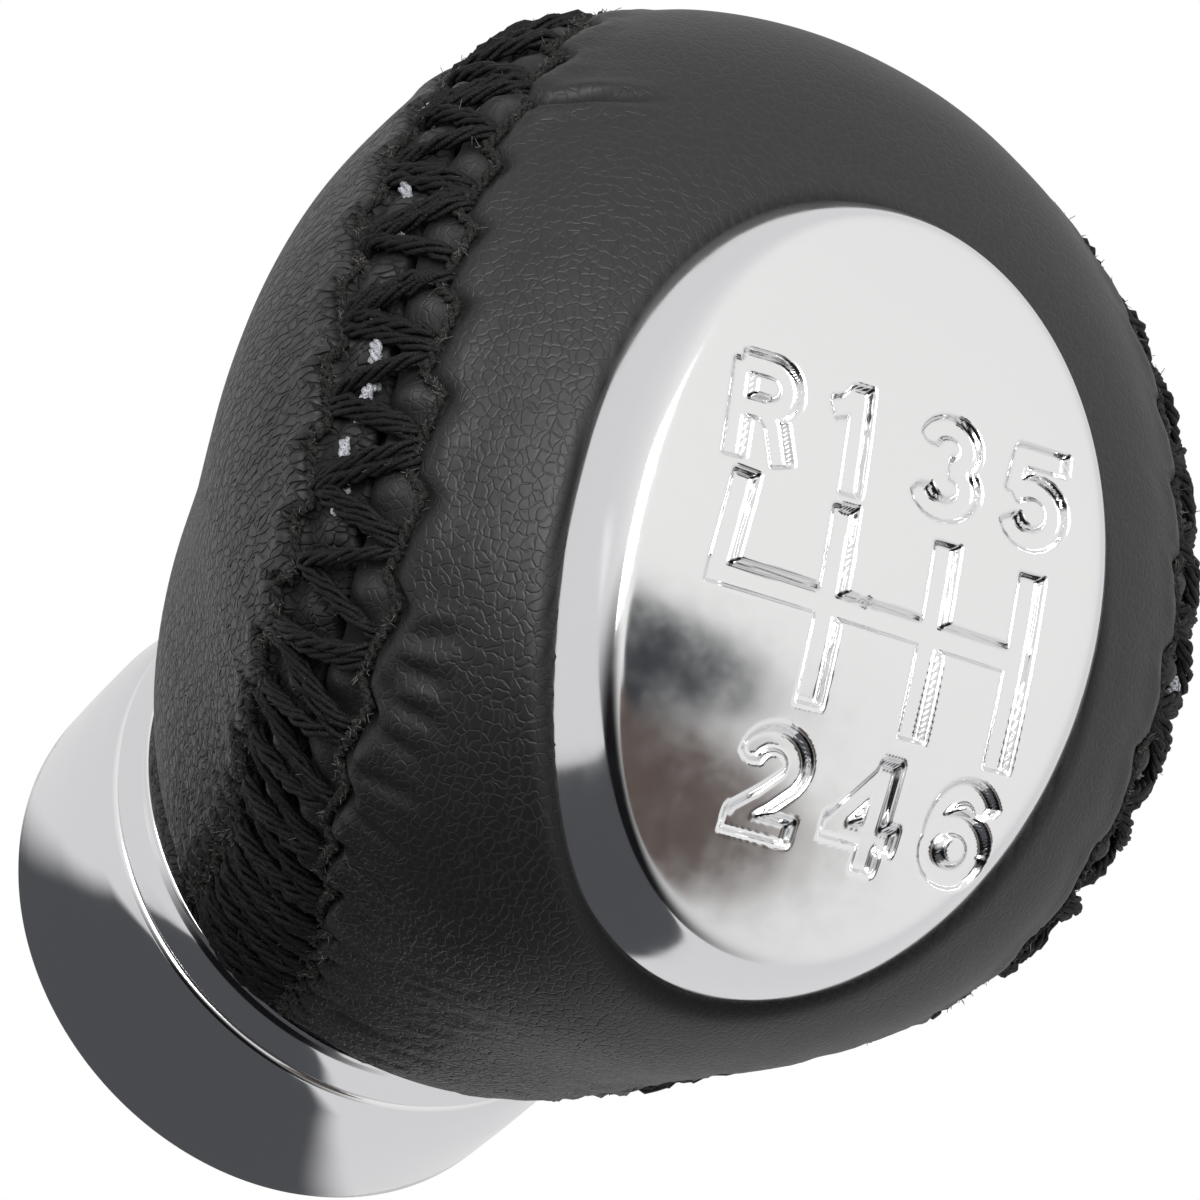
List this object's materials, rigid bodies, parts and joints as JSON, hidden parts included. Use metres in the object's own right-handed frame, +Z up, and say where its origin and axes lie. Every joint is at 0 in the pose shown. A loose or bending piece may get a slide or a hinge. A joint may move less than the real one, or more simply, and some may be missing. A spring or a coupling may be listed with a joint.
{
  "type": "gear shift knob",
  "caption": "Leather wrapped gear shift knob with laced side seams, a bright shift pattern plate, a bright ringed neck and a threaded lever socket.",
  "frame": {"origin": "centre of the lever socket's axis at the foot of the skirt, the face that the knob stands on", "axes": "+Z up the lever axis to the top of the knob, +X to the driver's right, +Y away from the driver"},
  "size_m": [0.05, 0.0567, 0.0682],
  "materials": {
    "bright_metal": "polished chrome plate",
    "bright_plate": "polished plate with a recessed pattern",
    "core_plastic": "moulded",
    "insert_metal": "turned",
    "plate_gasket": "dull",
    "strip_leather": "fine grain, smooth",
    "side_leather": "creased grain, semi matt",
    "lacing_thread": "waxed twisted thread",
    "edge_thread": "worn fuzzy thread",
    "basting_thread": "pale thread"
  },
  "bodies": {
    "root": {"skirt": "bright_metal", "band_ring": "bright_metal", "lip_ring": "bright_metal", "neck_tube": "core_plastic", "core": "core_plastic", "insert": "insert_metal", "plate_pad": "plate_gasket", "plate": "bright_plate", "leather_strip": "strip_leather", "leather_left": "side_leather", "leather_right": "side_leather", "lacing_left": "lacing_thread", "lacing_right": "lacing_thread", "edge_thread_left_strip": "edge_thread", "edge_thread_left_side": "edge_thread", "edge_thread_right_strip": "edge_thread", "edge_thread_right_side": "edge_thread", "basting_left": "basting_thread", "basting_right": "basting_thread"}
  },
  "joints": []
}
